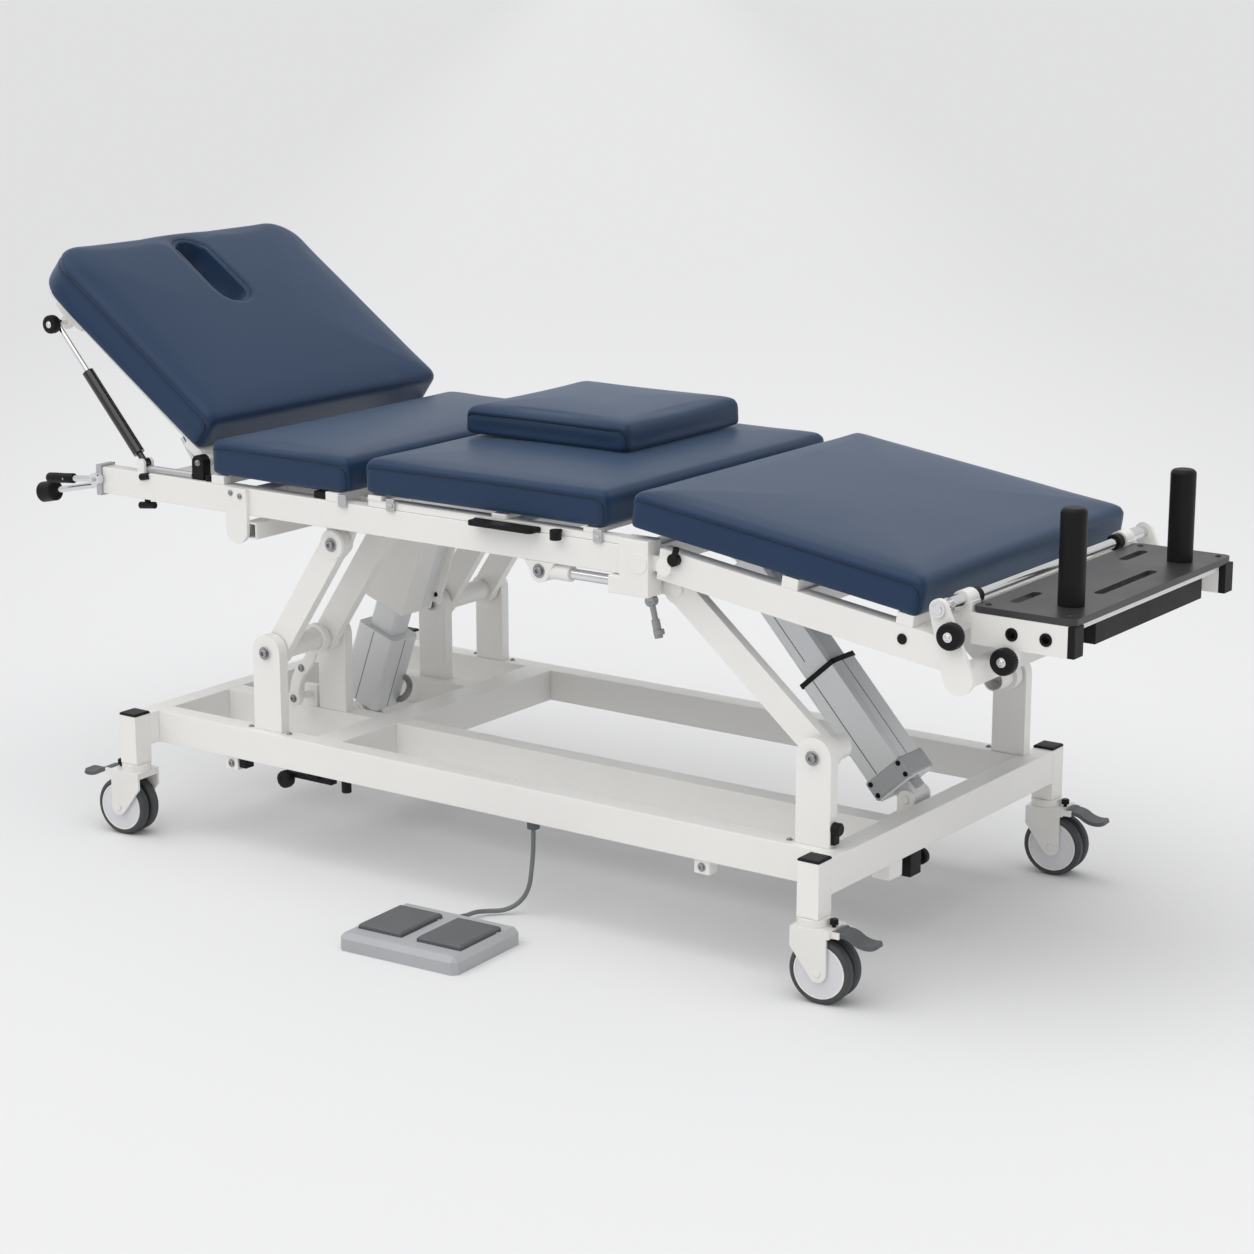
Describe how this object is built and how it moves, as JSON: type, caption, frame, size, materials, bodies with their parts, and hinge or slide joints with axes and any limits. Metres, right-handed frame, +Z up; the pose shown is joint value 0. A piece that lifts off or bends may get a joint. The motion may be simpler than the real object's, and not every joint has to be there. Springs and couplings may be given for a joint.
{
  "type": "physiotherapy traction table",
  "caption": "White steel physiotherapy traction table with navy padded sections, a raised back, lift actuators, castors, a footplate with posts and a foot control.",
  "frame": {"origin": "on the floor under the middle of the table, foot control and cord left out", "axes": "+X to the foot end, +Y to the side away from the foot control, +Z up"},
  "size_m": [2.15, 1.0872, 1.075],
  "materials": {
    "white_paint": "smooth warm-white powder coat",
    "chrome": "bright plated steel",
    "aluminium": "satin anodised extrusion",
    "black_plastic": "fine-grained matt black",
    "grey_plastic": "fine-grained light grey",
    "dark_rubber": "matt dark grey",
    "blue_leather": "stitched navy leatherette with a soft sheen",
    "castor_white": "smooth white enamel",
    "castor_tyre": "matt dark grey tread on light grey discs"
  },
  "bodies": {
    "base": {"base_rails": "white_paint", "base_corner_posts": "white_paint", "base_post_caps": "black_plastic", "base_inner_beams": "white_paint", "lift_pedestals": "white_paint", "lift_base_pins": "chrome", "cord_glands": "black_plastic", "control_cord": "dark_rubber", "foot_control_housing": "grey_plastic"},
    "foot_lift_arm_set": {"foot_lift_arms": "white_paint"},
    "head_lift_arm_set": {"head_lift_arms": "white_paint"},
    "head_saddle_set": {"head_saddles": "white_paint"},
    "head_actuator": {"head_actuator_housing": "aluminium", "head_actuator_tube": "aluminium"},
    "head_actuator_ram": {"head_actuator_sleeve": "white_paint"},
    "foot_actuator": {"foot_actuator_housing": "aluminium"},
    "foot_actuator_ram": {"foot_actuator_tube": "aluminium"},
    "top_frame": {"top_side_rails": "white_paint", "rail_end_plates": "aluminium", "top_cross_members": "white_paint", "top_brackets": "white_paint", "back_hinge_housings": "black_plastic", "thorax_pad": "blue_leather"},
    "back_section": {"back_frame": "white_paint", "back_pad": "blue_leather"},
    "gas_cylinder_pair": {"gas_cylinders": "black_plastic"},
    "gas_rod_pair": {"gas_rods": "chrome", "gas_knobs": "black_plastic"},
    "head_pull": {"head_pull_knob": "black_plastic"},
    "head_lever_arm": {"head_lever": "black_plastic"},
    "carriage": {"pelvic_runners": "white_paint", "pelvic_pad": "blue_leather", "knee_blocks": "white_paint", "guide_rods": "chrome"},
    "release_handle_arm": {"release_handle": "black_plastic"},
    "clamp_lever_arm": {"clamp_lever": "chrome"},
    "cushion": {"loose_cushion": "blue_leather"},
    "leg_section": {"leg_frame": "white_paint", "leg_pad": "blue_leather", "leg_end_plates": "white_paint", "foot_hinge_shaft": "chrome"},
    "foot_section": {"foot_rails": "white_paint", "foot_trim": "black_plastic", "foot_plate": "black_plastic"},
    "foot_lock": {"foot_lock_knob": "black_plastic"},
    "foot_clamp": {"foot_clamp_knob": "black_plastic"},
    "pedal_raise_plate": {"pedal_raise": "dark_rubber"},
    "pedal_lower_plate": {"pedal_lower": "dark_rubber"},
    "castor_head_near": {"castor_fork_head_near": "castor_white"},
    "castor_head_near_wheels": {"castor_wheel_head_near": "castor_tyre"},
    "castor_head_near_pedal": {"castor_brake_head_near": "grey_plastic"},
    "castor_head_far": {"castor_fork_head_far": "castor_white"},
    "castor_head_far_wheels": {"castor_wheel_head_far": "castor_tyre"},
    "castor_head_far_pedal": {"castor_brake_head_far": "grey_plastic"},
    "castor_foot_near": {"castor_fork_foot_near": "castor_white"},
    "castor_foot_near_wheels": {"castor_wheel_foot_near": "castor_tyre"},
    "castor_foot_near_pedal": {"castor_brake_foot_near": "grey_plastic"},
    "castor_foot_far": {"castor_fork_foot_far": "castor_white"},
    "castor_foot_far_wheels": {"castor_wheel_foot_far": "castor_tyre"},
    "castor_foot_far_pedal": {"castor_brake_foot_far": "grey_plastic"}
  },
  "joints": [
    {"name": "lift", "type": "hinge", "parent": "base", "child": "foot_lift_arm_set", "pos_m": [0.65299, 0, 0.376], "axis": [0, 1, 0], "range_deg": [-22, 5]},
    {"name": "top_level", "type": "hinge", "parent": "foot_lift_arm_set", "child": "top_frame", "pos_m": [0.37399, 0, 0.608], "axis": [0, 1, 0], "range_deg": [-5.5, 22.5]},
    {"name": "head_arm_turn", "type": "hinge", "parent": "base", "child": "head_lift_arm_set", "pos_m": [-0.50701, 0, 0.376], "axis": [0, 1, 0], "range_deg": [-8.78, 36.94]},
    {"name": "head_saddle_level", "type": "hinge", "parent": "head_lift_arm_set", "child": "head_saddle_set", "pos_m": [-0.36401, 0, 0.589], "axis": [0, 1, 0], "range_deg": [-36.94, 8.78]},
    {"name": "head_actuator_turn", "type": "hinge", "parent": "base", "child": "head_actuator", "pos_m": [-0.55901, 0, 0.195], "axis": [0, 1, 0], "range_deg": [-5.28, 1.58]},
    {"name": "head_actuator_stroke", "type": "slide", "parent": "head_actuator", "child": "head_actuator_ram", "axis": [0.3345, 0, 0.9424], "range_m": [-0.13585, 0.03165]},
    {"name": "foot_actuator_turn", "type": "hinge", "parent": "base", "child": "foot_actuator", "pos_m": [0.64499, 0, 0.228], "axis": [0, 1, 0], "range_deg": [-15.92, 4.01]},
    {"name": "foot_actuator_stroke", "type": "slide", "parent": "foot_actuator", "child": "foot_actuator_ram", "axis": [-0.6705, 0, 0.7419], "range_m": [-0.02673, 0.00685]},
    {"name": "back_tilt", "type": "hinge", "parent": "top_frame", "child": "back_section", "pos_m": [-0.65901, 0, 0.707], "axis": [0, 1, 0], "range_deg": [-35.5, 10]},
    {"name": "gas_turn", "type": "hinge", "parent": "top_frame", "child": "gas_cylinder_pair", "pos_m": [-0.79501, 0, 0.692], "axis": [0, 1, 0], "range_deg": [-48.72, 14.08]},
    {"name": "gas_stroke", "type": "slide", "parent": "gas_cylinder_pair", "child": "gas_rod_pair", "axis": [-0.6653, 0, 0.7466], "range_m": [-0.05106, 0.0151]},
    {"name": "head_knob_pull", "type": "slide", "parent": "top_frame", "child": "head_pull", "axis": [-0.9781, 0, -0.2079], "range_m": [0, 0.03]},
    {"name": "head_lever_turn", "type": "hinge", "parent": "top_frame", "child": "head_lever_arm", "pos_m": [-0.89801, -0.3563, 0.654], "axis": [0, 1, 0], "range_deg": [0, 30]},
    {"name": "traction", "type": "slide", "parent": "top_frame", "child": "carriage", "axis": [1, 0, 0], "range_m": [0, 0.06]},
    {"name": "release_handle_lift", "type": "hinge", "parent": "carriage", "child": "release_handle_arm", "pos_m": [0.05499, -0.3493, 0.6813], "axis": [-1, 0, 0], "range_deg": [0, 25]},
    {"name": "clamp_lever_turn", "type": "hinge", "parent": "carriage", "child": "clamp_lever_arm", "pos_m": [0.33699, -0.331, 0.5867], "axis": [0, 1, 0], "range_deg": [-30, 30]},
    {"name": "cushion_lift", "type": "slide", "parent": "carriage", "child": "cushion", "axis": [0, 0, 1], "range_m": [0, 0.08]},
    {"name": "leg_tilt", "type": "hinge", "parent": "carriage", "child": "leg_section", "pos_m": [0.37799, 0, 0.652], "axis": [0, 1, 0], "range_deg": [-8, 7]},
    {"name": "foot_tilt", "type": "hinge", "parent": "leg_section", "child": "foot_section", "pos_m": [0.88099, 0, 0.652], "axis": [0, -1, 0], "range_deg": [-5, 30]},
    {"name": "foot_lock_turn", "type": "hinge", "parent": "leg_section", "child": "foot_lock", "pos_m": [0.90899, -0.35, 0.616], "axis": [0, 1, 0], "continuous": true},
    {"name": "foot_clamp_turn", "type": "hinge", "parent": "foot_section", "child": "foot_clamp", "pos_m": [0.96299, -0.268, 0.57], "axis": [0, 1, 0], "continuous": true},
    {"name": "pedal_raise_press", "type": "hinge", "parent": "base", "child": "pedal_raise_plate", "pos_m": [-0.01434, -0.5172, 0.028], "axis": [0.9986, 0.0523, 0], "range_deg": [0, 6], "stiffness_Nm_per_rad": 6, "springref_deg": -5.73},
    {"name": "pedal_lower_press", "type": "hinge", "parent": "base", "child": "pedal_lower_plate", "pos_m": [0.1055, -0.51092, 0.028], "axis": [0.9986, 0.0523, 0], "range_deg": [0, 6], "stiffness_Nm_per_rad": 6, "springref_deg": -5.73},
    {"name": "castor_swivel_head_near", "type": "hinge", "parent": "base", "child": "castor_head_near", "pos_m": [-0.78701, -0.3925, 0.138], "axis": [0, 0, 1], "continuous": true},
    {"name": "castor_roll_head_near", "type": "hinge", "parent": "castor_head_near", "child": "castor_head_near_wheels", "pos_m": [-0.80893, -0.39442, 0.054], "axis": [0.0872, -0.9962, 0], "continuous": true},
    {"name": "castor_brake_turn_head_near", "type": "hinge", "parent": "castor_head_near", "child": "castor_head_near_pedal", "pos_m": [-0.83682, -0.39686, 0.119], "axis": [0.0872, -0.9962, 0], "range_deg": [0, 12]},
    {"name": "castor_swivel_head_far", "type": "hinge", "parent": "base", "child": "castor_head_far", "pos_m": [-0.78701, 0.3925, 0.138], "axis": [0, 0, 1], "continuous": true},
    {"name": "castor_roll_head_far", "type": "hinge", "parent": "castor_head_far", "child": "castor_head_far_wheels", "pos_m": [-0.80893, 0.39058, 0.054], "axis": [0.0872, -0.9962, 0], "continuous": true},
    {"name": "castor_brake_turn_head_far", "type": "hinge", "parent": "castor_head_far", "child": "castor_head_far_pedal", "pos_m": [-0.83682, 0.38814, 0.119], "axis": [0.0872, -0.9962, 0], "range_deg": [0, 12]},
    {"name": "castor_swivel_foot_near", "type": "hinge", "parent": "base", "child": "castor_foot_near", "pos_m": [0.69299, -0.3925, 0.138], "axis": [0, 0, 1], "continuous": true},
    {"name": "castor_roll_foot_near", "type": "hinge", "parent": "castor_foot_near", "child": "castor_foot_near_wheels", "pos_m": [0.71491, -0.39058, 0.054], "axis": [-0.0872, 0.9962, 0], "continuous": true},
    {"name": "castor_brake_turn_foot_near", "type": "hinge", "parent": "castor_foot_near", "child": "castor_foot_near_pedal", "pos_m": [0.7428, -0.38814, 0.119], "axis": [-0.0872, 0.9962, 0], "range_deg": [0, 12]},
    {"name": "castor_swivel_foot_far", "type": "hinge", "parent": "base", "child": "castor_foot_far", "pos_m": [0.69299, 0.3925, 0.138], "axis": [0, 0, 1], "continuous": true},
    {"name": "castor_roll_foot_far", "type": "hinge", "parent": "castor_foot_far", "child": "castor_foot_far_wheels", "pos_m": [0.71491, 0.39442, 0.054], "axis": [-0.0872, 0.9962, 0], "continuous": true},
    {"name": "castor_brake_turn_foot_far", "type": "hinge", "parent": "castor_foot_far", "child": "castor_foot_far_pedal", "pos_m": [0.7428, 0.39686, 0.119], "axis": [-0.0872, 0.9962, 0], "range_deg": [0, 12]}
  ],
  "couplings": [
    {"joint": "top_level", "follows": "lift", "ratio": -1},
    {"joint": "head_arm_turn", "follows": "lift", "ratio": -1.6562},
    {"joint": "head_saddle_level", "follows": "lift", "ratio": 1.6562},
    {"joint": "head_actuator_turn", "follows": "lift", "ratio": 0.21706},
    {"joint": "head_actuator_stroke", "follows": "lift", "m_per_rad": 0.35119},
    {"joint": "foot_actuator_turn", "follows": "lift", "ratio": 0.70111},
    {"joint": "foot_actuator_stroke", "follows": "lift", "m_per_rad": 0.06701},
    {"joint": "gas_turn", "follows": "back_tilt", "ratio": 1.3582},
    {"joint": "gas_stroke", "follows": "back_tilt", "m_per_rad": 0.0808}
  ]
}
